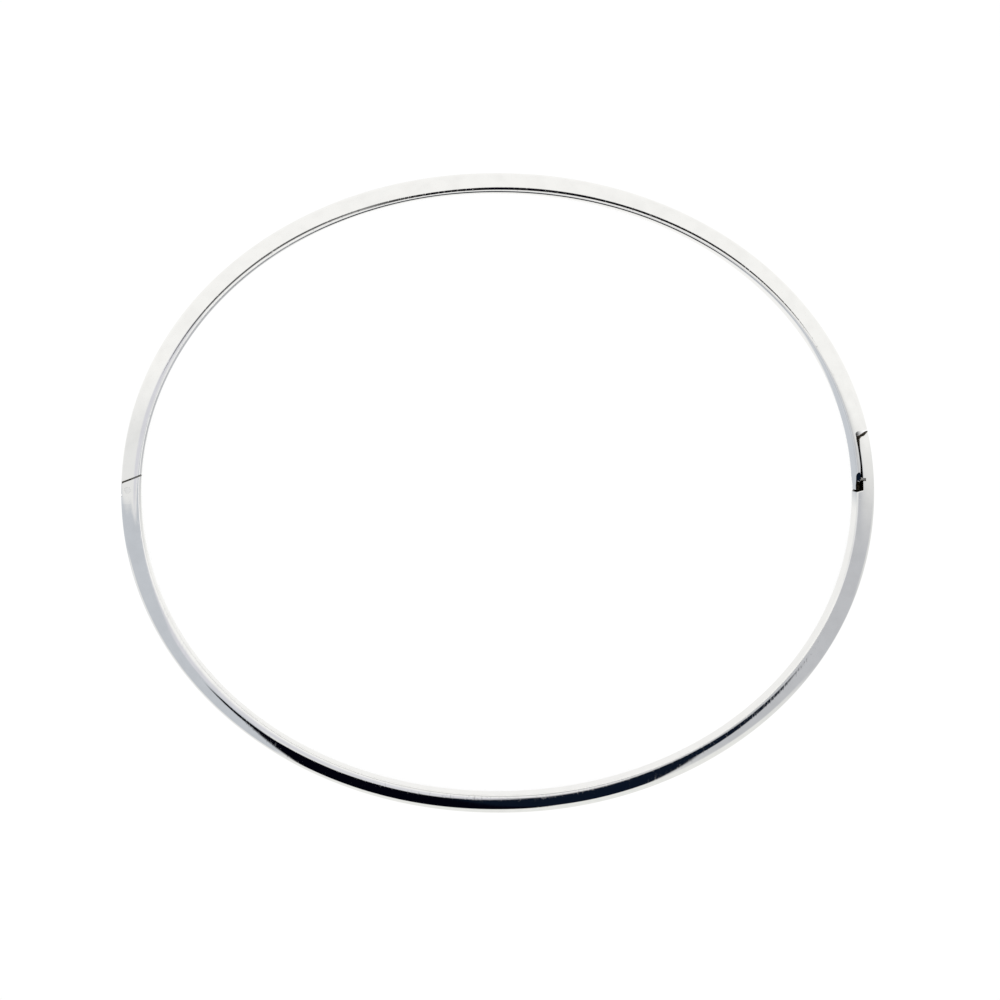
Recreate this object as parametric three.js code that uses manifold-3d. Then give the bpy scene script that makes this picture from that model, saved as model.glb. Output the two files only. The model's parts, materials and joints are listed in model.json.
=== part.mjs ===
// Oval hinged bangle. Millimetres, +Z up, lying flat on z = 0.
// +X points at the clasp, +Y at the rear half; the oval is centred on the Z axis.
import * as THREE from 'three';
import Module from 'manifold-3d';
import { mergeVertices } from 'three/addons/utils/BufferGeometryUtils.js';

// the oval: a superellipse for the wall that faces the wrist
const INNER_HALF_LENGTH = 30.0;
const INNER_HALF_WIDTH = 25.2;
const OVAL_POWER = 2.04;

// the D section: flat inside, domed outside
const BAND_THICKNESS = 1.66;
const BAND_HEIGHT = 3.0;
const INNER_CORNER_RADIUS = 0.15;
const TOP_FLAT_WIDTH = 0.2;
const DOME_POWER = 2.3;
const CORNER_SEGMENTS = 4;
const DOME_SEGMENTS = 7;
const BORE_CORNER_SEGMENTS = 2;
const BORE_DOME_SEGMENTS = 4;

// tube wall and the spigots that fit in it
const TUBE_WALL = 0.35;
const SPIGOT_CLEARANCE = 0.03;
const SPIGOT_LENGTH = 1.8;
const SPIGOT_ROOT = 0.2;
const TUBE_STEPS = 44;

// y of the four solder joints between tubes and end blocks
const REAR_HINGE_JOINT_Y = 2.6;
const FRONT_HINGE_JOINT_Y = -1.1;
const REAR_CLASP_JOINT_Y = 7.2;
const FRONT_CLASP_JOINT_Y = -1.6;

// hinge
const PIN_X = -31.13;
const PIN_Y = 0.0;
const PIN_RADIUS = 0.25;
const PIN_SEGMENTS = 20;
const LUG_HOLE_RADIUS = 0.255;
const EYE_BORE_RADIUS = 0.28;
const LUG_END_RADIUS = 0.68;
const EYE_RADIUS = 0.61;
const HINGE_GAP = 0.09;
const EYE_HALF_HEIGHT = 0.47;
const KNUCKLE_GAP = 0.03;
const SEAM_SLANT = THREE.MathUtils.degToRad(22.4);
const KNUCKLE_SEGMENTS = 36;

// clasp
const TONGUE_THICKNESS = 0.43;
const SLIT_OUTER_OFFSET = 0.58;
const SWEEP_RADIUS = 61.485;
const SWEEP_CLEARANCE = 0.02;
const REAR_SHOULDER_Y = 5.68;
const REAR_SHOULDER_OUTER_Y = 5.82;
const SHOULDER_FILLET = 0.28;
const LAP_TIP_Y = 5.68;
const LAP_NOSE_DROP = 0.42;
const LAP_NOSE_RADIUS = 0.36;
const TONGUE_TIP_Y = 0.73;
const TONGUE_TAPER_START_Y = 2.1;
const TONGUE_TAPER = 0.06;
const TONGUE_BEVEL_START_Y = 2.13;
const TONGUE_BEVEL_END_Y = 1.5;
const TONGUE_BEVEL_DROP = 0.3;
const TONGUE_LEDGE_START_Y = 1.1;
const TONGUE_LEDGE_DROP = 0.62;
const FRONT_SHOULDER_INNER_Y = 0.54;
const FRONT_SHOULDER_OUTER_Y = 0.7;
const GROOVE_Y = 1.62;
const GROOVE_WIDTH = 0.26;
const GROOVE_DEPTH = 0.24;
const CATCH_WIRE_RADIUS = 0.13;
const CATCH_WIRE_HALF_LENGTH = 0.95;
const CATCH_WIRE_SEGMENTS = 16;

const MID_Z = BAND_HEIGHT / 2;
const END_BLOCK_STEP = 0.7;
const OUTSIDE = 40;
const TALL = 8;

const wasm = await Module();
wasm.setup();

// ---------- helpers ----------

function ovalPoint(angle, halfLength = INNER_HALF_LENGTH, halfWidth = INNER_HALF_WIDTH) {
  const across = Math.abs(Math.cos(angle) / halfLength) ** OVAL_POWER;
  const along = Math.abs(Math.sin(angle) / halfWidth) ** OVAL_POWER;
  const radius = (across + along) ** (-1 / OVAL_POWER);
  return new THREE.Vector3(radius * Math.cos(angle), radius * Math.sin(angle), MID_Z);
}

function ovalTangent(angle) {
  const step = 1e-4;
  return ovalPoint(angle + step).sub(ovalPoint(angle - step)).normalize();
}

// angle on the oval at height y, on the clasp side (+X) or the hinge side (-X)
function angleAtY(y, claspSide) {
  let angle = Math.asin(y / INNER_HALF_LENGTH);
  for (let pass = 0; pass < 30; pass += 1) {
    angle += (y - ovalPoint(angle).y) / INNER_HALF_LENGTH;
  }
  return claspSide ? angle : Math.PI - angle;
}

// x of the curve parallel to the inner wall, at distance offset outside it, at height y (+X side)
function claspX(y, offset) {
  let angle = angleAtY(y, true);
  for (let pass = 0; pass < 30; pass += 1) {
    const tangent = ovalTangent(angle);
    const yHere = ovalPoint(angle).y - offset * tangent.x;
    angle += (y - yHere) / (INNER_HALF_LENGTH + offset);
  }
  return ovalPoint(angle).x + offset * ovalTangent(angle).y;
}

class OvalArc extends THREE.Curve {
  constructor(fromAngle, toAngle) {
    super();
    this.fromAngle = fromAngle;
    this.toAngle = toAngle;
  }
  angle(t) {
    return THREE.MathUtils.lerp(this.fromAngle, this.toAngle, t);
  }
  getPoint(t) {
    return ovalPoint(this.angle(t));
  }
  getTangent(t) {
    return ovalTangent(this.angle(t));
  }
}

// outline of the D section pulled in by inset on every side; x is height, y is minus the distance
// outside the inner wall
function sectionOutline(inset) {
  const cornerSegments = inset > 0 ? BORE_CORNER_SEGMENTS : CORNER_SEGMENTS;
  const domeSegments = inset > 0 ? BORE_DOME_SEGMENTS : DOME_SEGMENTS;
  const halfHeight = BAND_HEIGHT / 2 - inset;
  const corner = Math.max(INNER_CORNER_RADIUS - inset, 0.12);
  const cornerX = inset + corner;
  const domeX = Math.max(INNER_CORNER_RADIUS + TOP_FLAT_WIDTH, cornerX + 0.03);
  const domeDepth = BAND_THICKNESS - domeX - inset;
  const upper = [];
  for (let i = 0; i <= cornerSegments; i += 1) {
    const turn = (i / cornerSegments) * (Math.PI / 2);
    const distance = cornerX - corner * Math.cos(turn);
    upper.push([halfHeight - corner + corner * Math.sin(turn), distance]);
  }
  for (let i = 0; i <= domeSegments; i += 1) {
    const turn = (i / domeSegments) * (Math.PI / 2);
    const out = Math.sin(turn) ** (2 / DOME_POWER);
    const up = Math.max(Math.cos(turn), 0) ** (2 / DOME_POWER);
    upper.push([halfHeight * up, domeX + domeDepth * out]);
  }
  const lower = upper.slice(0, -1).reverse().map(([height, distance]) => [-height, distance]);
  upper[upper.length - 1][0] = 0;
  return [...upper, ...lower].map(([height, distance]) => new THREE.Vector2(-height, -distance));
}

function sweep(shape, fromAngle, toAngle, steps) {
  const path = new OvalArc(fromAngle, toAngle);
  return new THREE.ExtrudeGeometry(shape, { steps, extrudePath: path, curveSegments: 1 });
}

function toSolid(geometry) {
  const bare = new THREE.BufferGeometry();
  bare.setAttribute('position', geometry.getAttribute('position').clone());
  if (geometry.index) {
    bare.setIndex(geometry.index.clone());
  }
  const merged = mergeVertices(bare, 1e-5);
  return new wasm.Manifold(new wasm.Mesh({
    numProp: 3,
    vertProperties: new Float32Array(merged.getAttribute('position').array),
    triVerts: new Uint32Array(merged.index.array),
  }));
}

function toGeometry(solid) {
  const mesh = solid.getMesh();
  const geometry = new THREE.BufferGeometry();
  geometry.setAttribute('position', new THREE.BufferAttribute(mesh.vertProperties, 3));
  geometry.setIndex(new THREE.BufferAttribute(mesh.triVerts, 1));
  const flat = geometry.toNonIndexed();
  flat.computeVertexNormals();
  return flat;
}

// upright prism on a plan outline, from height low to height high
function prism(points, low = -TALL, high = TALL) {
  const shape = new THREE.Shape(points);
  const geometry = new THREE.ExtrudeGeometry(shape, { depth: high - low, bevelEnabled: false });
  geometry.translate(0, 0, low);
  return toSolid(geometry);
}

function uprightCylinder(x, y, radius, low, high, segments) {
  const geometry = new THREE.CylinderGeometry(radius, radius, high - low, segments);
  geometry.rotateX(Math.PI / 2);
  geometry.translate(x, y, (low + high) / 2);
  return toSolid(geometry);
}

// solid end block with a spigot that enters the tube beyond tubeAngle
function endBlock(tubeAngle, farAngle) {
  const length = Math.abs(farAngle - tubeAngle) * INNER_HALF_LENGTH;
  const steps = Math.ceil(length / END_BLOCK_STEP);
  const from = Math.min(tubeAngle, farAngle);
  const to = Math.max(tubeAngle, farAngle);
  const block = toSolid(sweep(new THREE.Shape(sectionOutline(0)), from, to, steps));
  const away = Math.sign(tubeAngle - farAngle);
  const rootAngle = tubeAngle - (away * SPIGOT_ROOT) / INNER_HALF_LENGTH;
  const endAngle = tubeAngle + (away * SPIGOT_LENGTH) / INNER_HALF_LENGTH;
  const spigotShape = new THREE.Shape(sectionOutline(TUBE_WALL + SPIGOT_CLEARANCE));
  const spigot = toSolid(sweep(
    spigotShape,
    Math.min(rootAngle, endAngle),
    Math.max(rootAngle, endAngle),
    3,
  ));
  return block.add(spigot);
}

// ---------- tubes ----------

function tube(fromAngle, toAngle) {
  const shape = new THREE.Shape(sectionOutline(0));
  shape.holes.push(new THREE.Path(sectionOutline(TUBE_WALL)));
  return toSolid(sweep(shape, fromAngle, toAngle, TUBE_STEPS));
}

const rearClaspAngle = angleAtY(REAR_CLASP_JOINT_Y, true);
const rearHingeAngle = angleAtY(REAR_HINGE_JOINT_Y, false);
const frontHingeAngle = angleAtY(FRONT_HINGE_JOINT_Y, false);
const frontClaspAngle = angleAtY(FRONT_CLASP_JOINT_Y, true) + 2 * Math.PI;

const rearTube = tube(rearClaspAngle, rearHingeAngle);
const frontTube = tube(frontHingeAngle, frontClaspAngle);

// ---------- hinge ----------

const pin = new THREE.Vector2(PIN_X, PIN_Y);
const alongSeam = new THREE.Vector2(Math.cos(SEAM_SLANT), Math.sin(SEAM_SLANT));
const acrossSeam = new THREE.Vector2(-Math.sin(SEAM_SLANT), Math.cos(SEAM_SLANT));

// plan point at a distance along and across the seam from the pin
function fromPin(along, across) {
  return pin.clone().addScaledVector(alongSeam, along).addScaledVector(acrossSeam, across);
}

// everything on the front side of the seam, rounded about the pin on its outer side
function frontOfSeam(radius) {
  const points = [fromPin(OUTSIDE, radius)];
  for (let i = 0; i <= KNUCKLE_SEGMENTS / 4; i += 1) {
    const turn = (i / KNUCKLE_SEGMENTS) * 2 * Math.PI;
    points.push(fromPin(-radius * Math.sin(turn), radius * Math.cos(turn)));
  }
  points.push(fromPin(-OUTSIDE, 0), fromPin(-OUTSIDE, -OUTSIDE), fromPin(OUTSIDE, -OUTSIDE));
  return points;
}

// the eye with its neck, which joins it to the rear half
function eyeOutline(radius, neck) {
  const points = [fromPin(radius, neck), fromPin(-radius, neck)];
  for (let i = 0; i <= KNUCKLE_SEGMENTS / 2; i += 1) {
    const turn = Math.PI + (i / KNUCKLE_SEGMENTS) * 2 * Math.PI;
    points.push(fromPin(radius * Math.cos(turn), radius * Math.sin(turn)));
  }
  return points;
}

const eyeLow = MID_Z - EYE_HALF_HEIGHT;
const eyeHigh = MID_Z + EYE_HALF_HEIGHT;
const hingeReach = angleAtY(-2.0, false);
const rearHingeBlock = endBlock(rearHingeAngle, hingeReach);
const rearSeamCut = prism(frontOfSeam(LUG_END_RADIUS + HINGE_GAP));
const eyeShape = prism(eyeOutline(EYE_RADIUS, LUG_END_RADIUS + 3 * HINGE_GAP), eyeLow, eyeHigh);
const eyeBore = uprightCylinder(PIN_X, PIN_Y, EYE_BORE_RADIUS, -TALL, TALL, PIN_SEGMENTS);
const rearHingeEnd = rearHingeBlock
  .subtract(rearSeamCut)
  .add(rearHingeBlock.intersect(eyeShape))
  .subtract(eyeBore);

const frontReach = angleAtY(1.9, false);
const lugHole = uprightCylinder(PIN_X, PIN_Y, LUG_HOLE_RADIUS, -TALL, TALL, PIN_SEGMENTS);
const eyeSlot = prism(
  eyeOutline(EYE_RADIUS + HINGE_GAP, LUG_END_RADIUS + HINGE_GAP),
  eyeLow - KNUCKLE_GAP,
  eyeHigh + KNUCKLE_GAP,
);
const frontHingeEnd = endBlock(frontHingeAngle, frontReach)
  .intersect(prism(frontOfSeam(LUG_END_RADIUS)))
  .subtract(eyeSlot)
  .subtract(lugHole);

const pinBar = uprightCylinder(PIN_X, PIN_Y, PIN_RADIUS, -TALL, TALL, PIN_SEGMENTS);
const hingeEnvelope = toSolid(sweep(
  new THREE.Shape(sectionOutline(0)),
  angleAtY(2.0, false),
  hingeReach,
  8,
));
const hingePin = pinBar.intersect(hingeEnvelope);

// ---------- clasp ----------

// x of the circle about the hinge pin at height y
function sweepX(y, radius) {
  return PIN_X + Math.sqrt(radius * radius - (y - PIN_Y) ** 2);
}

function tongueOuterX(y) {
  const taper = Math.max((TONGUE_TAPER_START_Y - y) / (TONGUE_TAPER_START_Y - TONGUE_TIP_Y), 0);
  const full = Math.min(claspX(y, TONGUE_THICKNESS), sweepX(y, SWEEP_RADIUS - SWEEP_CLEARANCE));
  return full - taper * TONGUE_TAPER;
}

function lapInnerX(y) {
  return Math.max(claspX(y, SLIT_OUTER_OFFSET), sweepX(y, SWEEP_RADIUS));
}

// heights from low to high in even steps
function heights(low, high, count) {
  return Array.from({ length: count + 1 }, (_, i) => THREE.MathUtils.lerp(low, high, i / count));
}

const filletStartY = REAR_SHOULDER_Y - SHOULDER_FILLET;
const filletX = tongueOuterX(filletStartY) + SHOULDER_FILLET;
const notchOutline = [
  new THREE.Vector2(OUTSIDE, -OUTSIDE),
  new THREE.Vector2(OUTSIDE, REAR_SHOULDER_OUTER_Y),
  new THREE.Vector2(claspX(REAR_SHOULDER_OUTER_Y, BAND_THICKNESS), REAR_SHOULDER_OUTER_Y),
];
for (const turn of heights(0, Math.PI / 2, 5)) {
  notchOutline.push(new THREE.Vector2(
    filletX - SHOULDER_FILLET * Math.sin(turn),
    filletStartY + SHOULDER_FILLET * Math.cos(turn),
  ));
}
for (const y of heights(TONGUE_TIP_Y, filletStartY, 8).reverse().slice(1)) {
  notchOutline.push(new THREE.Vector2(tongueOuterX(y), y));
}
notchOutline.push(new THREE.Vector2(0, TONGUE_TIP_Y), new THREE.Vector2(0, -OUTSIDE));

// wedge that bevels the top of the tongue's tip and leaves a low ledge, mirrored below
function tongueBevel() {
  const wedge = new THREE.Shape([
    new THREE.Vector2(TONGUE_BEVEL_START_Y, BAND_HEIGHT),
    new THREE.Vector2(TONGUE_BEVEL_END_Y, BAND_HEIGHT - TONGUE_BEVEL_DROP),
    new THREE.Vector2(TONGUE_LEDGE_START_Y, BAND_HEIGHT - TONGUE_LEDGE_DROP),
    new THREE.Vector2(TONGUE_TIP_Y - 1, BAND_HEIGHT - TONGUE_LEDGE_DROP),
    new THREE.Vector2(TONGUE_TIP_Y - 1, BAND_HEIGHT + 1),
    new THREE.Vector2(TONGUE_BEVEL_START_Y, BAND_HEIGHT + 1),
  ]);
  const geometry = new THREE.ExtrudeGeometry(wedge, { depth: OUTSIDE, bevelEnabled: false });
  const axes = new THREE.Matrix4().makeBasis(
    new THREE.Vector3(0, 1, 0),
    new THREE.Vector3(0, 0, 1),
    new THREE.Vector3(1, 0, 0),
  );
  geometry.applyMatrix4(axes);
  return toSolid(geometry);
}

// the wire stands proud of the tapered tongue, up to the swept circle
const catchX = sweepX(GROOVE_Y, SWEEP_RADIUS - SWEEP_CLEARANCE) - CATCH_WIRE_RADIUS;

function catchCylinder(radius, halfLength) {
  return uprightCylinder(
    catchX,
    GROOVE_Y,
    radius,
    MID_Z - halfLength,
    MID_Z + halfLength,
    CATCH_WIRE_SEGMENTS,
  );
}

const catchWire = catchCylinder(CATCH_WIRE_RADIUS, CATCH_WIRE_HALF_LENGTH);
const topBevel = tongueBevel();
const rearClaspEnd = endBlock(rearClaspAngle, angleAtY(0.3, true))
  .subtract(prism(notchOutline))
  .subtract(topBevel)
  .subtract(topBevel.mirror([0, 0, 1]).translate([0, 0, BAND_HEIGHT]))
  .subtract(catchCylinder(CATCH_WIRE_RADIUS + 0.005, CATCH_WIRE_HALF_LENGTH + 0.01));

// the outer lap: rounded nose, inner face along the slit, then the front shoulder
const noseStartY = LAP_TIP_Y - LAP_NOSE_DROP - LAP_NOSE_RADIUS;
const noseX = lapInnerX(noseStartY) + LAP_NOSE_RADIUS;
const lapOutline = [new THREE.Vector2(OUTSIDE, -OUTSIDE), new THREE.Vector2(OUTSIDE, LAP_TIP_Y)];
lapOutline.push(new THREE.Vector2(claspX(LAP_TIP_Y, BAND_THICKNESS), LAP_TIP_Y));
for (const turn of heights(0, Math.PI / 2, 6)) {
  lapOutline.push(new THREE.Vector2(
    noseX - LAP_NOSE_RADIUS * Math.sin(turn),
    noseStartY + LAP_NOSE_RADIUS * Math.cos(turn),
  ));
}
const shoulderX = lapInnerX(FRONT_SHOULDER_OUTER_Y);
for (const y of heights(FRONT_SHOULDER_OUTER_Y, noseStartY, 8).reverse().slice(1)) {
  lapOutline.push(new THREE.Vector2(lapInnerX(y), y));
}
lapOutline.push(
  new THREE.Vector2(INNER_HALF_LENGTH, FRONT_SHOULDER_INNER_Y),
  new THREE.Vector2(INNER_HALF_LENGTH - 2, FRONT_SHOULDER_INNER_Y),
  new THREE.Vector2(INNER_HALF_LENGTH - 2, -OUTSIDE),
);
const grooveBox = prism([
  new THREE.Vector2(shoulderX - 1, GROOVE_Y - GROOVE_WIDTH / 2),
  new THREE.Vector2(lapInnerX(GROOVE_Y) + GROOVE_DEPTH, GROOVE_Y - GROOVE_WIDTH / 2),
  new THREE.Vector2(lapInnerX(GROOVE_Y) + GROOVE_DEPTH, GROOVE_Y + GROOVE_WIDTH / 2),
  new THREE.Vector2(shoulderX - 1, GROOVE_Y + GROOVE_WIDTH / 2),
]);
const frontClaspEnd = endBlock(frontClaspAngle, angleAtY(5.8, true) + 2 * Math.PI)
  .intersect(prism(lapOutline))
  .subtract(grooveBox);

// ---------- assembly ----------

const SILVER = 0xd9dadc;
const pieces = {
  rear_half_tube: rearTube,
  rear_hinge_end: rearHingeEnd,
  rear_clasp_end: rearClaspEnd,
  catch_wire: catchWire,
  front_half_tube: frontTube,
  front_hinge_end: frontHingeEnd,
  front_clasp_end: frontClaspEnd,
  hinge_pin: hingePin,
};

const bangle = new THREE.Group();
bangle.name = 'bangle';
for (const [name, solid] of Object.entries(pieces)) {
  const material = new THREE.MeshStandardMaterial({ color: SILVER, metalness: 1, roughness: 0.1 });
  const mesh = new THREE.Mesh(toGeometry(solid), material);
  mesh.name = name;
  bangle.add(mesh);
}

export default bangle;
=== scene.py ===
"""Oval hinged bangle of polished white metal, lying flat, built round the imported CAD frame."""

import json
import math

import bmesh
import bpy
from mathutils import Matrix, Vector


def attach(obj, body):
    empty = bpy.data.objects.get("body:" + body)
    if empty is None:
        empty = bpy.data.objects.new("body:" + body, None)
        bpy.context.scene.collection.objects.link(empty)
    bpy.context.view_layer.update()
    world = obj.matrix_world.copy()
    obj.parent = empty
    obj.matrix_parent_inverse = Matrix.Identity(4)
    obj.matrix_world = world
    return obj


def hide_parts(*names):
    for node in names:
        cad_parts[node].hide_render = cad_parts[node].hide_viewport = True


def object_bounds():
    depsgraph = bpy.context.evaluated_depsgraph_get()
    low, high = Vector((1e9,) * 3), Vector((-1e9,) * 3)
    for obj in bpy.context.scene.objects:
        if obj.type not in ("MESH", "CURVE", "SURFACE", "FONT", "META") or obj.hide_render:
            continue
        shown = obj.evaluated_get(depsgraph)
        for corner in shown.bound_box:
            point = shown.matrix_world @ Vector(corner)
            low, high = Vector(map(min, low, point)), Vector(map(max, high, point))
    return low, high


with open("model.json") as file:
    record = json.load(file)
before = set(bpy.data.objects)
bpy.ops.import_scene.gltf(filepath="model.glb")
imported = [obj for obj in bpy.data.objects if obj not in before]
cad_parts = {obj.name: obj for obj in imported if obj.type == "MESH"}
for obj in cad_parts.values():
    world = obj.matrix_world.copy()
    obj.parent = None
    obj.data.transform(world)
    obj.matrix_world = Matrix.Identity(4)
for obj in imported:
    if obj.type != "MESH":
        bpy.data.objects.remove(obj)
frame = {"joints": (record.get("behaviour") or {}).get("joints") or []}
CAD_LOW, CAD_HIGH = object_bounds()

MM = 0.001

# ---------------------------------------------------------------- the band, in millimetres
OVAL_POWER = 2.04
BAND_THICKNESS = 1.66
INNER_CORNER = 0.15
DOME_POWER = 2.4
TUBE_WALL = 0.35
LEAST_CORNER = 0.08
SOLVER_STEPS = 30
BAND_HEIGHT = (CAD_HIGH.z - CAD_LOW.z) / MM
MID_Z = BAND_HEIGHT / 2
INNER_LENGTH = (CAD_HIGH.x - CAD_LOW.x) / MM / 2 - BAND_THICKNESS
INNER_WIDTH = (CAD_HIGH.y - CAD_LOW.y) / MM / 2 - BAND_THICKNESS

CORNER_POINTS = 14
DOME_POINTS = 30
BAND_STEP = 0.35
BLOCK_STEP = 0.12
TURN = 2 * math.pi

hinge = next(j for j in frame["joints"] if j["name"] == "bangle_hinge")
PIN_X = hinge["pos_m"][0] / MM
PIN_Y = hinge["pos_m"][1] / MM


def oval_point(angle):
    """Point of the inner wall's plan outline."""
    across = abs(math.cos(angle) / INNER_LENGTH) ** OVAL_POWER
    along = abs(math.sin(angle) / INNER_WIDTH) ** OVAL_POWER
    radius = (across + along) ** (-1 / OVAL_POWER)
    return Vector((radius * math.cos(angle), radius * math.sin(angle)))


def oval_tangent(angle):
    step = 1e-4
    return (oval_point(angle + step) - oval_point(angle - step)).normalized()


def angle_at_y(y, clasp_side):
    """Angle of the oval's point at height y, on the clasp side or the hinge side."""
    angle = math.asin(y / INNER_LENGTH)
    for _ in range(SOLVER_STEPS):
        angle += (y - oval_point(angle).y) / INNER_LENGTH
    return angle if clasp_side else math.pi - angle


def outside_wall(angle, distance):
    """Plan point at a distance outside the inner wall."""
    tangent = oval_tangent(angle)
    return oval_point(angle) + Vector((tangent.y, -tangent.x)) * distance


def clasp_x(y, offset):
    """x at height y of the curve parallel to the inner wall, on the clasp side."""
    angle = angle_at_y(y, True)
    for _ in range(SOLVER_STEPS):
        angle += (y - outside_wall(angle, offset).y) / (INNER_LENGTH + offset)
    return outside_wall(angle, offset).x


def section(angle, inset=0.0):
    """The D section as (distance outside the wall, height above the middle) points."""
    # the dome is finished by hand, so its fullness varies a little round the band
    power = DOME_POWER + 0.13 * math.sin(5 * angle + 2.4) + 0.07 * math.sin(9 * angle + 0.5)
    half = BAND_HEIGHT / 2 - inset
    corner = max(INNER_CORNER - inset, LEAST_CORNER)
    dome_start = inset + corner
    depth = BAND_THICKNESS - inset - dome_start
    upper = []
    for i in range(CORNER_POINTS + 1):
        turn = i / CORNER_POINTS * math.pi / 2
        upper.append(
            (inset + corner - corner * math.cos(turn), half - corner + corner * math.sin(turn))
        )
    for i in range(1, DOME_POINTS + 1):
        turn = i / DOME_POINTS * math.pi / 2
        out = math.sin(turn) ** (2 / power)
        up = max(math.cos(turn), 0.0) ** (2 / power)
        upper.append((dome_start + depth * out, half * up))
    upper[-1] = (upper[-1][0], 0.0)
    lower = [(u, -z) for u, z in reversed(upper[:-1])]
    return upper + lower


def ring_at(angle, inset=0.0):
    """The band's section placed square to the oval at an angle."""
    points = []
    for distance, height in section(angle, inset):
        plan = outside_wall(angle, distance)
        points.append((plan.x * MM, plan.y * MM, (MID_Z + height) * MM))
    return points


# ---------------------------------------------------------------- shader nodes
def add_node(tree, kind, values=None, sources=None, **settings):
    """A shader node with its settings, the values of its free inputs and its linked inputs."""
    node = tree.nodes.new(kind)
    for name, value in settings.items():
        setattr(node, name, value)
    for name, value in (values or {}).items():
        node.inputs[name].default_value = value
    for name, source in (sources or {}).items():
        tree.links.new(source, node.inputs[name])
    return node


def set_inputs(shader, **values):
    for name, value in values.items():
        shader.inputs[name.replace("_", " ")].default_value = value


def new_material(name):
    """A node material, its tree and its main shader."""
    material = bpy.data.materials.new(name)
    material.use_nodes = True
    tree = material.node_tree
    return material, tree, tree.nodes["Principled BSDF"]


def noise(tree, place, scale, detail, rough, stretch=(1, 1, 1), turn=0.0):
    """Noise on the piece's own coordinates, stretched and turned about the vertical."""
    mapping = add_node(
        tree, "ShaderNodeMapping", {"Scale": stretch, "Rotation": (0, 0, turn)}, {"Vector": place}
    )
    values = {"Scale": scale, "Detail": detail, "Roughness": rough}
    texture = add_node(tree, "ShaderNodeTexNoise", values, {"Vector": mapping.outputs["Vector"]})
    return texture.outputs["Fac"]


def spread(tree, value, span, result=(0.0, 1.0)):
    """Maps a span of the value to a result range, clamped."""
    values = {"From Min": span[0], "From Max": span[1], "To Min": result[0], "To Max": result[1]}
    return add_node(tree, "ShaderNodeMapRange", values, {"Value": value}).outputs["Result"]


def combine(tree, operation, first, second):
    node = add_node(tree, "ShaderNodeMath", None, {0: first, 1: second}, operation=operation)
    return node.outputs[0]


def blend(tree, factor, first, second):
    """Mixes two colours, each a plain colour or another node's output."""
    values, sources = {}, {"Factor": factor}
    for name, colour in (("A", first), ("B", second)):
        if isinstance(colour, tuple):
            values[name] = (*colour, 1)
        else:
            sources[name] = colour
    return add_node(tree, "ShaderNodeMix", values, sources, data_type="RGBA").outputs["Result"]


def bump(tree, height, distance, strength, normal=None):
    sources = {"Height": height}
    if normal is not None:
        sources["Normal"] = normal
    values = {"Distance": distance, "Strength": strength}
    return add_node(tree, "ShaderNodeBump", values, sources).outputs["Normal"]


# ---------------------------------------------------------------- materials
# each hairline set is a thin band of stretched noise: its turn in radians and its noise scale
HAIRLINE_SETS = ((0.5, 5200), (-0.9, 6400), (1.7, 4500))
HAIRLINE_STRETCH = (1, 0.12, 0.3)
HAIRLINE_SPAN = (0.64, 0.72)
SPECK_SCALE = 6500
SPECK_SPAN = (0.67, 0.74)
MARK_ROUGHNESS = 0.06
MARK_DEPTH = 0.000003
MARK_STRENGTH = 0.22
SMEAR_SCALE = 420
SMEAR_SPAN = (0.35, 0.7)
SMEAR_GAIN = 2.2
WEAR_SCALE = 900
WEAR_SPAN = (0.4, 0.8)
WEAR_SHADE = 0.94
WAVE_SCALE = 260
WAVE_DEPTH = 0.00002
WAVE_STRENGTH = 0.2
GRIME_SCALE = 3500
GRIME_SPAN = (0.35, 0.75)
GRIME_DEPTH = 0.000005
GRIME_STRENGTH = 0.4
# painted shade: the near-black colour that the slit's walls darken to, deep in the clasp
PAINTED_SHADE = (0.012, 0.009, 0.006)


def silver(name, colour, roughness):
    """Polished rhodium-bright silver with polishing waves, hairline scratches and fine wear."""
    material, tree, shader = new_material(name)
    set_inputs(shader, Metallic=1.0)
    place = tree.nodes.new("ShaderNodeTexCoord").outputs["Object"]

    marks = spread(tree, noise(tree, place, SPECK_SCALE, 2.0, 0.5), SPECK_SPAN)
    for turn, scale in HAIRLINE_SETS:
        streak = noise(tree, place, scale, 2.0, 0.6, HAIRLINE_STRETCH, turn)
        marks = combine(tree, "MAXIMUM", marks, spread(tree, streak, HAIRLINE_SPAN))

    cloud = noise(tree, place, SMEAR_SCALE, 4.0, 0.6)
    smear = spread(tree, cloud, SMEAR_SPAN, (roughness, roughness * SMEAR_GAIN))
    marked = spread(tree, marks, (0.0, 1.0), (0.0, MARK_ROUGHNESS))
    tree.links.new(combine(tree, "ADD", smear, marked), shader.inputs["Roughness"])

    wear = spread(tree, noise(tree, place, WEAR_SCALE, 3.0, 0.5), WEAR_SPAN)
    worn = tuple(c * WEAR_SHADE for c in colour)
    tree.links.new(blend(tree, wear, colour, worn), shader.inputs["Base Color"])

    waves = bump(tree, noise(tree, place, WAVE_SCALE, 1.0, 0.4), WAVE_DEPTH, WAVE_STRENGTH)
    fine = bump(tree, marks, MARK_DEPTH, MARK_STRENGTH, waves)
    tree.links.new(fine, shader.inputs["Normal"])
    return material


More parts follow.
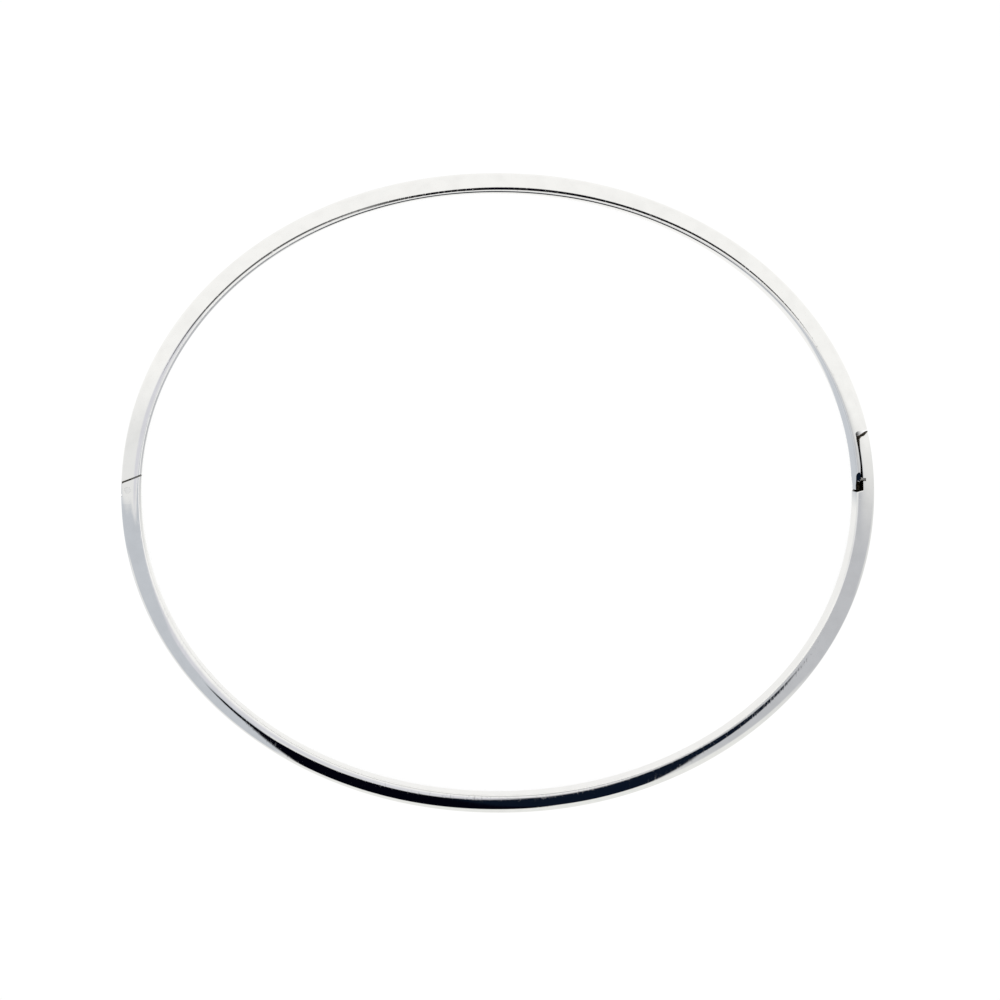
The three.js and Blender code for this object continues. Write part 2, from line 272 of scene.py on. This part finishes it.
def shaded_unpolished(name, dark, light, metallic, roughness, shade_span=None):
    """Unpolished silver inside the clasp and the hinge, darkened in patches.

    The last argument holds two heights y in millimetres: full painted shade at the first, none at the
    second."""
    material, tree, shader = new_material(name)
    set_inputs(shader, Metallic=metallic, Specular_IOR_Level=0.0, Roughness=roughness)
    place = tree.nodes.new("ShaderNodeTexCoord").outputs["Object"]
    grime = noise(tree, place, GRIME_SCALE, 4.0, 0.5)
    colour = blend(tree, spread(tree, grime, GRIME_SPAN), dark, light)
    # painted shade: the colour darkens towards low y, deeper in the clasp
    if shade_span is not None:
        axes = add_node(tree, "ShaderNodeSeparateXYZ", None, {0: place})
        unshaded = spread(tree, axes.outputs["Y"], (shade_span[0] * MM, shade_span[1] * MM))
        colour = blend(tree, unshaded, PAINTED_SHADE, colour)
    tree.links.new(colour, shader.inputs["Base Color"])
    tree.links.new(bump(tree, grime, GRIME_DEPTH, GRIME_STRENGTH), shader.inputs["Normal"])
    return material


band_metal = silver("band_silver", (0.865, 0.866, 0.868), 0.03)
pin_metal = silver("pin_silver", (0.83, 0.833, 0.84), 0.07)
wire_metal = silver("wire_silver", (0.78, 0.783, 0.79), 0.12)
# painted shade: unpolished silver in a near-black colour, for the faces inside the cuts, bores and
# pockets
recess_shade_metal = shaded_unpolished("recess_painted_shade", (0.008, 0.006, 0.004), (0.075, 0.055, 0.036), 0.0, 0.6)
# painted shade: the slit's walls darken to near black below y 1.9 mm, towards the tongue's ledge, and
# are unshaded above y 4.8 mm
slit_metal = shaded_unpolished(
    "slit_silver", (0.3, 0.27, 0.225), (0.7, 0.64, 0.56), 0.0, 0.6, (1.9, 4.8)
)
# painted shade: unpolished silver far darker than the band, for the walls of the hinge seam, the eye,
# the clasp's notch and the groove
wall_shade_metal = shaded_unpolished("wall_painted_shade", (0.1, 0.09, 0.076), (0.19, 0.175, 0.152), 1.0, 0.35)

# ---------------------------------------------------------------- meshes
SHARP_ANGLE = math.radians(32)
# heights of a cutter that passes right through the band, in millimetres
BELOW = -2.0
ABOVE = 6.0
FLARE = 1.6
EASING_STEPS = 6


def new_object(name, mesh, metal=None):
    if metal is not None:
        mesh.materials.append(metal)
    piece = bpy.data.objects.new(name, mesh)
    bpy.context.scene.collection.objects.link(piece)
    return piece


def finish_mesh(bm, name):
    """Closes a bmesh into a mesh with smooth shading that keeps its real edges."""
    bmesh.ops.recalc_face_normals(bm, faces=bm.faces)
    for face in bm.faces:
        face.smooth = True
    mesh = bpy.data.meshes.new(name)
    bm.to_mesh(mesh)
    bm.free()
    mesh.set_sharp_from_angle(angle=SHARP_ANGLE)
    return mesh


def loft(rings):
    """Closed bmesh through equal rings."""
    bm = bmesh.new()
    rows = [[bm.verts.new(p) for p in ring] for ring in rings]
    count = len(rows[0])
    for low, high in zip(rows, rows[1:]):
        for i in range(count):
            j = (i + 1) % count
            bm.faces.new((low[i], low[j], high[j], high[i]))
    bm.faces.new(list(reversed(rows[0])))
    bm.faces.new(rows[-1])
    return bm


def angles_between(start, end, step):
    count = max(2, math.ceil(abs(end - start) * INNER_LENGTH / step))
    return [start + (end - start) * i / count for i in range(count + 1)]


def tube_mesh(name, start, end):
    """Hollow D tube: outer and bore walls joined by rings at both ends."""
    stations = angles_between(start, end, BAND_STEP)
    bm = bmesh.new()
    outer = [[bm.verts.new(p) for p in ring_at(a)] for a in stations]
    bore = [[bm.verts.new(p) for p in ring_at(a, TUBE_WALL)] for a in stations]
    count = len(outer[0])
    for k in range(len(stations) - 1):
        for i in range(count):
            j = (i + 1) % count
            bm.faces.new((outer[k][i], outer[k][j], outer[k + 1][j], outer[k + 1][i]))
            bm.faces.new((bore[k][j], bore[k][i], bore[k + 1][i], bore[k + 1][j]))
    for k in (0, -1):
        for i in range(count):
            j = (i + 1) % count
            bm.faces.new((outer[k][i], outer[k][j], bore[k][j], bore[k][i]))
    return finish_mesh(bm, name)


def block_object(name, start, end, metal):
    """Solid length of the band, fine enough to be cut."""
    low, high = min(start, end), max(start, end)
    rings = [ring_at(a) for a in angles_between(low, high, BLOCK_STEP)]
    bm = loft(rings)
    return new_object(name, finish_mesh(bm, name), metal)


def prism_object(name, points, low=BELOW, high=ABOVE, metal=recess_shade_metal):
    """Upright prism on a plan outline in millimetres."""
    rings = [[(x * MM, y * MM, z * MM) for x, y in points] for z in (low, high)]
    bm = loft(rings)
    return new_object(name, finish_mesh(bm, name), metal)


def grown(points, amount):
    """A closed plan outline pushed outward by an amount."""
    pts = [Vector(p) for p in points]
    area = sum(
        a.x * b.y - b.x * a.y for a, b in zip(pts, pts[1:] + pts[:1])
    )
    side = 1 if area > 0 else -1
    result = []
    for before, here, after in zip(pts[-1:] + pts[:-1], pts, pts[1:] + pts[:1]):
        first = (here - before).normalized()
        second = (after - here).normalized()
        normal = Vector((first.y + second.y, -first.x - second.x)).normalized() * side
        share = max(0.5, abs(normal.dot(Vector((first.y, -first.x)))))
        result.append(here + normal * (amount / share))
    return [(p.x, p.y) for p in result]


def eased_prism_object(name, points, radius, wall):
    """A cutter whose walls flare at the band's top and bottom, so cut edges come out rounded."""
    levels = [(BELOW, radius * FLARE)]
    for i in range(EASING_STEPS + 1):
        turn = i / EASING_STEPS * math.pi / 2
        levels.append((radius * math.sin(turn), radius * (1 - math.cos(math.pi / 2 - turn))))
    upper = [(BAND_HEIGHT - z, grow) for z, grow in reversed(levels)]
    rings = []
    for z, grow in levels + upper:
        outline = grown(points, grow) if grow > 1e-6 else points
        rings.append([(x * MM, y * MM, z * MM) for x, y in outline])
    cutter = new_object(name, finish_mesh(loft(rings), name), band_metal)
    cutter.data.materials.append(wall)
    for face in cutter.data.polygons:
        height = face.center.z / MM
        if radius < height < BAND_HEIGHT - radius:
            face.material_index = 1
    return cutter


def cylinder_object(name, x, y, radius, low, high, metal, count=48):
    rings = []
    for z in (low, high):
        rings.append(
            [
                (
                    (x + radius * math.cos(TURN * i / count)) * MM,
                    (y + radius * math.sin(TURN * i / count)) * MM,
                    z * MM,
                )
                for i in range(count)
            ]
        )
    bm = loft(rings)
    return new_object(name, finish_mesh(bm, name), metal)


def carve(target, operation, cutter):
    """Exact boolean of target with cutter, applied; cut faces take the cutter's materials."""
    modifier = target.modifiers.new("cut", "BOOLEAN")
    modifier.solver = "EXACT"
    modifier.operation = operation
    modifier.material_mode = "TRANSFER"
    modifier.object = cutter
    graph = bpy.context.evaluated_depsgraph_get()
    mesh = bpy.data.meshes.new_from_object(target.evaluated_get(graph))
    target.modifiers.clear()
    old = target.data
    target.data = mesh
    mesh.name = target.name
    bpy.data.meshes.remove(old)
    cutter_mesh = cutter.data
    bpy.data.objects.remove(cutter)
    bpy.data.meshes.remove(cutter_mesh)
    return target


def settle(piece):
    """Cleans a carved piece and sets its smooth shading."""
    bm = bmesh.new()
    bm.from_mesh(piece.data)
    bmesh.ops.remove_doubles(bm, verts=bm.verts, dist=1e-7)
    bmesh.ops.dissolve_degenerate(bm, edges=bm.edges, dist=1e-8)
    bmesh.ops.recalc_face_normals(bm, faces=bm.faces)
    for face in bm.faces:
        face.smooth = True
    bm.to_mesh(piece.data)
    bm.free()
    piece.data.set_sharp_from_angle(angle=SHARP_ANGLE)
    return piece


# ---------------------------------------------------------------- joints between the pieces
REAR_CLASP_Y = 7.2
REAR_HINGE_Y = 2.6
FRONT_HINGE_Y = -1.1
FRONT_CLASP_Y = -1.6
# how far the solid ends run on before they are cut to shape
REAR_HINGE_REACH_Y = -2.0
FRONT_HINGE_REACH_Y = 1.9
RIVET_REACH_Y = 0.8
REAR_CLASP_REACH_Y = 0.3
FRONT_CLASP_REACH_Y = 5.8
FIT_GAP = 0.005

rear_clasp_angle = angle_at_y(REAR_CLASP_Y, True)
rear_hinge_angle = angle_at_y(REAR_HINGE_Y, False)
front_hinge_angle = angle_at_y(FRONT_HINGE_Y, False)
front_clasp_angle = angle_at_y(FRONT_CLASP_Y, True) + TURN

rear_band = new_object(
    "rear_band", tube_mesh("rear_band", rear_clasp_angle, rear_hinge_angle), band_metal
)
front_band = new_object(
    "front_band", tube_mesh("front_band", front_hinge_angle, front_clasp_angle), band_metal
)

# ---------------------------------------------------------------- hinge
SEAM_SLANT = math.radians(22.4)
LUG_END_RADIUS = 0.68
EYE_RADIUS = 0.61
HINGE_GAP = 0.14
EYE_HALF_HEIGHT = 0.47
KNUCKLE_GAP = 0.03
PIN_RADIUS = 0.25
EYE_BORE_GAP = 0.02
FAR = 40.0
INSIDE = 20.0

pin = Vector((PIN_X, PIN_Y))
along_seam = Vector((math.cos(SEAM_SLANT), math.sin(SEAM_SLANT)))
across_seam = Vector((-math.sin(SEAM_SLANT), math.cos(SEAM_SLANT)))


def from_pin(along, across):
    return tuple(pin + along_seam * along + across_seam * across)


def front_of_seam(radius, count=24):
    points = [from_pin(FAR, radius)]
    for i in range(count + 1):
        turn = i / count * math.pi / 2
        points.append(from_pin(-radius * math.sin(turn), radius * math.cos(turn)))
    return points + [from_pin(-FAR, 0), from_pin(-FAR, -FAR), from_pin(FAR, -FAR)]


def eye_outline(radius, neck, count=48):
    points = [from_pin(radius, neck), from_pin(-radius, neck)]
    for i in range(count + 1):
        turn = math.pi * (1 + i / count)
        points.append(from_pin(radius * math.cos(turn), radius * math.sin(turn)))
    return points


eye_low = MID_Z - EYE_HALF_HEIGHT
eye_high = MID_Z + EYE_HALF_HEIGHT

rear_hinge = block_object(
    "rear_hinge", rear_hinge_angle, angle_at_y(REAR_HINGE_REACH_Y, False), band_metal
)
seam_cut = prism_object(
    "seam_cut", front_of_seam(LUG_END_RADIUS + HINGE_GAP), metal=wall_shade_metal
)
eye_room = prism_object(
    "eye_room",
    eye_outline(EYE_RADIUS, LUG_END_RADIUS + 3 * HINGE_GAP),
    eye_low,
    eye_high,
    wall_shade_metal,
)
carve(seam_cut, "DIFFERENCE", eye_room)
carve(rear_hinge, "DIFFERENCE", seam_cut)
carve(
    rear_hinge,
    "DIFFERENCE",
    cylinder_object("eye_bore", PIN_X, PIN_Y, PIN_RADIUS + EYE_BORE_GAP, BELOW, ABOVE, recess_shade_metal),
)
settle(rear_hinge)

front_hinge = block_object(
    "front_hinge", front_hinge_angle, angle_at_y(FRONT_HINGE_REACH_Y, False), band_metal
)
carve(
    front_hinge,
    "INTERSECT",
    prism_object("seam_side", front_of_seam(LUG_END_RADIUS), metal=wall_shade_metal),
)
carve(
    front_hinge,
    "DIFFERENCE",
    prism_object(
        "eye_slot",
        eye_outline(EYE_RADIUS + HINGE_GAP, LUG_END_RADIUS + HINGE_GAP),
        eye_low - KNUCKLE_GAP,
        eye_high + KNUCKLE_GAP,
    ),
)
carve(
    front_hinge,
    "DIFFERENCE",
    cylinder_object("pin_hole", PIN_X, PIN_Y, PIN_RADIUS + FIT_GAP, BELOW, ABOVE, recess_shade_metal),
)
settle(front_hinge)

rivet = block_object(
    "rivet", angle_at_y(RIVET_REACH_Y, False), angle_at_y(-RIVET_REACH_Y, False), pin_metal
)
carve(
    rivet, "INTERSECT", cylinder_object("rivet_bar", PIN_X, PIN_Y, PIN_RADIUS, BELOW, ABOVE, pin_metal)
)
settle(rivet)

# ---------------------------------------------------------------- clasp
TONGUE_THICKNESS = 0.43
SLIT_OUTER_OFFSET = 0.58
SWEEP_RADIUS = 61.485
SWEEP_CLEARANCE = 0.02
REAR_SHOULDER_Y = 5.68
REAR_SHOULDER_OUTER_Y = 5.82
SHOULDER_FILLET = 0.28
LAP_TIP_Y = 5.68
LAP_NOSE_DROP = 0.42
LAP_NOSE_RADIUS = 0.36
TONGUE_TIP_Y = 0.73
TONGUE_TAPER_START_Y = 2.1
TONGUE_TAPER = 0.06
TONGUE_BEVEL_START_Y = 2.13
TONGUE_BEVEL_END_Y = 1.5
TONGUE_BEVEL_DROP = 0.3
TONGUE_LEDGE_START_Y = 1.1
TONGUE_LEDGE_DROP = 0.62
FRONT_SHOULDER_INNER_Y = 0.54
FRONT_SHOULDER_OUTER_Y = 0.7
GROOVE_Y = 1.62
GROOVE_WIDTH = 0.26
GROOVE_DEPTH = 0.24
CATCH_RADIUS = 0.13
CATCH_HALF_LENGTH = 0.95
EDGE_ROUNDING = 0.06
NOTCH_ROUNDING = 0.04


def sweep_x(y, radius):
    return PIN_X + math.sqrt(radius**2 - (y - PIN_Y) ** 2)


def tongue_outer_x(y):
    taper = max((TONGUE_TAPER_START_Y - y) / (TONGUE_TAPER_START_Y - TONGUE_TIP_Y), 0)
    full = min(clasp_x(y, TONGUE_THICKNESS), sweep_x(y, SWEEP_RADIUS - SWEEP_CLEARANCE))
    return full - taper * TONGUE_TAPER


def lap_inner_x(y):
    return max(clasp_x(y, SLIT_OUTER_OFFSET), sweep_x(y, SWEEP_RADIUS))


def evenly(low, high, count):
    return [low + (high - low) * i / count for i in range(count + 1)]


fillet_y = REAR_SHOULDER_Y - SHOULDER_FILLET
fillet_x = tongue_outer_x(fillet_y) + SHOULDER_FILLET
notch = [
    (FAR, -FAR),
    (FAR, REAR_SHOULDER_OUTER_Y),
    (clasp_x(REAR_SHOULDER_OUTER_Y, BAND_THICKNESS), REAR_SHOULDER_OUTER_Y),
]
for turn in evenly(0, math.pi / 2, 10):
    notch.append(
        (fillet_x - SHOULDER_FILLET * math.sin(turn), fillet_y + SHOULDER_FILLET * math.cos(turn))
    )
for y in evenly(TONGUE_TIP_Y, fillet_y, 24)[::-1][1:]:
    notch.append((tongue_outer_x(y), y))
notch += [(INSIDE, TONGUE_TIP_Y), (INSIDE, -FAR)]

rear_clasp = block_object(
    "rear_clasp", rear_clasp_angle, angle_at_y(REAR_CLASP_REACH_Y, True), band_metal
)
carve(rear_clasp, "DIFFERENCE", eased_prism_object("notch", notch, NOTCH_ROUNDING, wall_shade_metal))
for top in (True, False):
    profile = [
        (TONGUE_BEVEL_START_Y, 0.0),
        (TONGUE_BEVEL_END_Y, -TONGUE_BEVEL_DROP),
        (TONGUE_LEDGE_START_Y, -TONGUE_LEDGE_DROP),
        (TONGUE_TIP_Y - 1, -TONGUE_LEDGE_DROP),
        (TONGUE_TIP_Y - 1, 1.0),
        (TONGUE_BEVEL_START_Y, 1.0),
    ]
    rings = []
    for x in (INSIDE, FAR):
        rings.append(
            [
                (x * MM, y * MM, (BAND_HEIGHT + z if top else -z) * MM)
                for y, z in profile
            ]
        )
    wedge = new_object("wedge", finish_mesh(loft(rings), "wedge"), band_metal)
    wedge.data.materials.append(recess_shade_metal)
    # painted shade: the faces past the start of the tongue's ledge take the near-black recess material
    for face in wedge.data.polygons:
        if face.center.y / MM < TONGUE_LEDGE_START_Y:
            face.material_index = 1
    carve(rear_clasp, "DIFFERENCE", wedge)
catch_x = sweep_x(GROOVE_Y, SWEEP_RADIUS - SWEEP_CLEARANCE) - CATCH_RADIUS
catch_low, catch_high = MID_Z - CATCH_HALF_LENGTH, MID_Z + CATCH_HALF_LENGTH
carve(
    rear_clasp,
    "DIFFERENCE",
    cylinder_object(
        "catch_seat",
        catch_x,
        GROOVE_Y,
        CATCH_RADIUS + FIT_GAP,
        catch_low - 2 * FIT_GAP,
        catch_high + 2 * FIT_GAP,
        recess_shade_metal,
    ),
)
settle(rear_clasp)

catch = cylinder_object(
    "catch", catch_x, GROOVE_Y, CATCH_RADIUS, catch_low, catch_high, wire_metal, 32
)
settle(catch)

nose_y = LAP_TIP_Y - LAP_NOSE_DROP - LAP_NOSE_RADIUS
nose_x = lap_inner_x(nose_y) + LAP_NOSE_RADIUS
# the space that the lap leaves free, as seen from above
lap_space = [(INSIDE, FAR), (FAR, FAR), (FAR, LAP_TIP_Y)]
lap_space.append((clasp_x(LAP_TIP_Y, BAND_THICKNESS), LAP_TIP_Y))
for turn in evenly(0, math.pi / 2, 12):
    lap_space.append(
        (nose_x - LAP_NOSE_RADIUS * math.sin(turn), nose_y + LAP_NOSE_RADIUS * math.cos(turn))
    )
for y in evenly(FRONT_SHOULDER_OUTER_Y, nose_y, 24)[::-1][1:]:
    lap_space.append((lap_inner_x(y), y))
lap_space += [(INNER_LENGTH, FRONT_SHOULDER_INNER_Y), (INSIDE, FRONT_SHOULDER_INNER_Y)]

front_clasp = block_object(
    "front_clasp", front_clasp_angle, angle_at_y(FRONT_CLASP_REACH_Y, True) + TURN, band_metal
)
carve(
    front_clasp,
    "DIFFERENCE",
    eased_prism_object("lap_space", lap_space, EDGE_ROUNDING, slit_metal),
)
groove_outer = lap_inner_x(GROOVE_Y) + GROOVE_DEPTH
groove_inner = lap_inner_x(GROOVE_Y) - 0.5
carve(
    front_clasp,
    "DIFFERENCE",
    prism_object(
        "groove",
        [
            (groove_inner, GROOVE_Y - GROOVE_WIDTH / 2),
            (groove_outer, GROOVE_Y - GROOVE_WIDTH / 2),
            (groove_outer, GROOVE_Y + GROOVE_WIDTH / 2),
            (groove_inner, GROOVE_Y + GROOVE_WIDTH / 2),
        ],
        metal=wall_shade_metal,
    ),
)
settle(front_clasp)


# ---------------------------------------------------------------- bodies and the CAD nodes they replace; the slot column is not used
for piece, body, node, slot in (
    (rear_band, "rear_half", "rear_half_tube", "band"),
    (front_band, "front_half", "front_half_tube", "band"),
    (rear_hinge, "rear_half", "rear_hinge_end", "band"),
    (front_hinge, "front_half", "front_hinge_end", "band"),
    (rear_clasp, "rear_half", "rear_clasp_end", "band"),
    (front_clasp, "front_half", "front_clasp_end", "band"),
    (rivet, "front_half", "hinge_pin", "pin"),
    (catch, "rear_half", "catch_wire", "wire"),
):
    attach(piece, body)
    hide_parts(node)

# ---------------------------------------------------------------- floor
FLOOR_HALF = 1.2
# painted shade: the floor seen by the camera glows white, dimmed to near black where ambient occlusion
# finds it closely enclosed, so the floor seen through a narrow gap, 3 mm deep like the band, is dark
GAP_REACH = 3.0
GAP_OPENNESS = (0.25, 0.4)
GAP_GLOW = (0.006, 1.02)

floor_mesh = bpy.data.meshes.new("floor")
floor_mesh.from_pydata(
    [(x * FLOOR_HALF, y * FLOOR_HALF, 0) for x, y in ((-1, -1), (1, -1), (1, 1), (-1, 1))],
    [],
    [(0, 1, 2, 3)],
)
floor = new_object("floor", floor_mesh)
floor.location.z = CAD_LOW.z
paper, paper_tree, paper_shader = new_material("white_paper")
set_inputs(
    paper_shader,
    Base_Color=(0.9, 0.9, 0.89, 1),
    Roughness=0.9,
    Specular_IOR_Level=0.2,
    Emission_Color=(1, 1, 0.99, 1),
    Emission_Strength=0.15,
)
openness = add_node(
    paper_tree, "ShaderNodeAmbientOcclusion", {"Distance": GAP_REACH * MM}, samples=12
)
# painted shade: the camera's white glow of the floor falls to near black where the floor is enclosed
gap_shade = spread(paper_tree, openness.outputs["AO"], GAP_OPENNESS, GAP_GLOW)
glow = add_node(paper_tree, "ShaderNodeEmission", None, {"Strength": gap_shade})
seen = paper_tree.nodes.new("ShaderNodeLightPath").outputs["Is Camera Ray"]
paper_mix = add_node(
    paper_tree,
    "ShaderNodeMixShader",
    None,
    {"Fac": seen, 1: paper_shader.outputs["BSDF"], 2: glow.outputs["Emission"]},
)
paper_output = paper_tree.nodes["Material Output"]
paper_tree.links.new(paper_mix.outputs["Shader"], paper_output.inputs["Surface"])
floor.data.materials.append(paper)
floor.visible_glossy = False

# ---------------------------------------------------------------- studio light
WHITE = (1.05, 1.043, 1.014)
PALE_VIOLET = (0.76, 0.76, 0.8)
BLUE_GREY = (0.602, 0.63, 0.667)
GREY = (0.571, 0.58, 0.6)
CREAM = (0.91, 0.912, 0.88)
BLACK = (0.001, 0.001, 0.004)
NAVY = (0.004, 0.008, 0.018)
DARK_GREY = (0.1, 0.1, 0.1)
LIGHT_GREY = (0.8, 0.8, 0.785)
PALE_CREAM = (0.89, 0.89, 0.875)
LOW_WHITE = (0.94, 0.935, 0.915)
BACKDROP = (1.0, 1.0, 1.0)
LOWEST = -95
HIGHEST = 95
DEGREES = 57.2958

# where the base colours change, and where the cards near the poles start, in degrees
FRONT_SPAN = (-20, 20)
LEFT_SPAN = (-114, -96)
RIGHT_SPAN = (86, 104)
UPPER_SPAN = (20, 30)
NADIR_SPAN = (-76, -62)

# colour, softness, then corners as azimuth and elevation in degrees
SKY_CARDS = (
    (BLUE_GREY, 2, [(-85, -40), (-26, -40), (-26, HIGHEST), (-70, HIGHEST), (-84, 45)]),
    (BLUE_GREY, 3, [(-86, -70), (-70, -70), (-74, -38), (-84, -38)]),
    (GREY, 8, [(30, 12), (84, -30), (84, HIGHEST), (30, HIGHEST)]),
    (GREY, 5, [(54, -55), (70, -55), (76, 20), (48, 20)]),
    (CREAM, 8, [(-20, LOWEST), (44, LOWEST), (44, -2), (8, 16), (-20, 16)]),
    (PALE_VIOLET, 4, [(-50, 63), (30, 72), (30, HIGHEST), (-50, HIGHEST)]),
    (WHITE, 5, [(-40, 80), (45, 80), (45, HIGHEST), (-40, HIGHEST)]),
    (PALE_VIOLET, 4, [(-128, 74), (-80, 62), (-80, 86), (-128, 86)]),
    (
        BLACK,
        1.6,
        [(-23.3, -22.8), (-7, -13), (9.6, 4.1), (14, 27), (14, 69), (-7, 67), (-25, 57), (-32, 44)],
    ),
    (BLACK, 1.6, [(-32, 42), (-24, 50), (-26, 57), (-35, 60), (-41, 54)]),
    (NAVY, 1.8, [(4, 34), (10, 12), (25, 9), (30, 31), (34, 52), (34, 60), (22, 78), (4, 69)]),
    (NAVY, 1.8, [(20, 60), (34, 51), (52, 67), (56, 75), (42, 80), (20, 77)]),
)
# the dark of the camera and whoever holds it, nearly overhead: x and y of the direction
ZENITH_CARDS = (
    (DARK_GREY, 0.02, [(-0.24, 0.09), (0.0, 0.09), (0.0, 0.19), (-0.2, 0.17)]),
    (BLACK, 0.02, [(0.02, 0.06), (0.25, 0.075), (0.27, 0.12), (0.05, 0.26), (-0.02, 0.22)]),
)
# the grey that the inner wall beside the clasp mirrors, nearly straight below
NADIR_CARDS = (
    (BLUE_GREY, 0.012, [(-0.03, -0.045), (-0.45, -0.03), (-0.4, -0.2), (-0.08, -0.2)]),
)

scene = bpy.context.scene
world = bpy.data.worlds.new("studio")
scene.world = world
world.use_nodes = True
studio = world.node_tree
studio.nodes.clear()


def sky_math(operation, *terms):
    node = add_node(studio, "ShaderNodeMath", operation=operation)
    for socket, term in zip(node.inputs, terms):
        if isinstance(term, (int, float)):
            socket.default_value = term
        else:
            studio.links.new(term, socket)
    return node.outputs[0]


def sky_ramp(value, low, high):
    """0 below low, 1 above high, smooth between."""
    node = add_node(
        studio,
        "ShaderNodeMapRange",
        {"From Min": low, "From Max": high},
        {"Value": value},
        interpolation_type="SMOOTHSTEP",
    )
    return node.outputs["Result"]


direction = add_node(studio, "ShaderNodeTexCoord").outputs["Generated"]
east, north, up_part = add_node(studio, "ShaderNodeSeparateXYZ", None, {0: direction}).outputs
# degrees round from the front (-Y) towards the clasp (+X), and degrees above the floor
azimuth = sky_math(
    "MULTIPLY", sky_math("ARCTAN2", east, sky_math("MULTIPLY", north, -1)), DEGREES
)
elevation = sky_math("MULTIPLY", sky_math("ARCSINE", up_part), DEGREES)


def side_of(start, end, soft, across, along):
    """1 on the left of the line from start to end, 0 on its right, soft between."""
    run = Vector((end[0] - start[0], end[1] - start[1])).normalized()
    offset = start[0] * run.y - start[1] * run.x
    signed = sky_math(
        "ADD",
        sky_math("MULTIPLY", along, run.x),
        sky_math("MULTIPLY_ADD", across, -run.y, offset),
    )
    return sky_ramp(signed, -soft, soft)


def lay_cards(under, cards, across, along):
    """Lays soft-edged convex cards, their corners counter-clockwise, over what is under them."""
    for colour, soft, corners in cards:
        mask = None
        for start, end in zip(corners, corners[1:] + corners[:1]):
            side = side_of(start, end, soft, across, along)
            mask = side if mask is None else sky_math("MULTIPLY", mask, side)
        under = blend(studio, mask, under, colour)
    return under


sky = blend(studio, sky_ramp(azimuth, *FRONT_SPAN), PALE_CREAM, LIGHT_GREY)
sky = blend(studio, sky_ramp(azimuth, *LEFT_SPAN), WHITE, sky)
sky = blend(studio, sky_ramp(azimuth, *RIGHT_SPAN), sky, WHITE)
sky = lay_cards(sky, SKY_CARDS, azimuth, elevation)
zenith = lay_cards(sky, ZENITH_CARDS, east, north)
sky = blend(studio, sky_ramp(elevation, *UPPER_SPAN), sky, zenith)
nadir = lay_cards(LOW_WHITE, NADIR_CARDS, east, north)
sky = blend(studio, sky_ramp(elevation, *NADIR_SPAN), nadir, sky)
camera_ray = add_node(studio, "ShaderNodeLightPath").outputs["Is Camera Ray"]
sky = blend(studio, camera_ray, sky, BACKDROP)
background = add_node(studio, "ShaderNodeBackground", None, {"Color": sky})
add_node(studio, "ShaderNodeOutputWorld", None, {"Surface": background.outputs[0]})
scene.view_settings.view_transform = "Standard"
scene.view_settings.look = "None"

# ---------------------------------------------------------------- camera
CAMERA_DISTANCE = 370.0
LEAN_X = -0.0687
LEAN_Y = 0.0423
ROLL = 0.0114
PIXELS_PER_MM = 11.9114
AIM_RIGHT = 0.027
AIM_UP = -0.515
FRAME_PIXELS = 1000
SENSOR = 36.0

lean = Vector((LEAN_X, LEAN_Y, math.sqrt(1 - LEAN_X**2 - LEAN_Y**2)))
right = Vector((math.cos(ROLL), math.sin(ROLL), 0))
right = (right - lean * right.dot(lean)).normalized()
up = lean.cross(right)
centre = Vector((0, 0, MID_Z))
aim = centre + right * AIM_RIGHT + up * AIM_UP
eye = (aim + lean * CAMERA_DISTANCE) * MM
camera_data = bpy.data.cameras.new("camera")
camera_data.sensor_width = SENSOR
camera_data.lens = SENSOR * PIXELS_PER_MM * CAMERA_DISTANCE / FRAME_PIXELS
camera_data.clip_start = 0.01
camera_data.clip_end = 20.0
camera = bpy.data.objects.new("camera", camera_data)
scene.collection.objects.link(camera)
camera.matrix_world = Matrix(
    (
        (right.x, up.x, lean.x, eye.x),
        (right.y, up.y, lean.y, eye.y),
        (right.z, up.z, lean.z, eye.z),
        (0, 0, 0, 1),
    )
)
scene.camera = camera
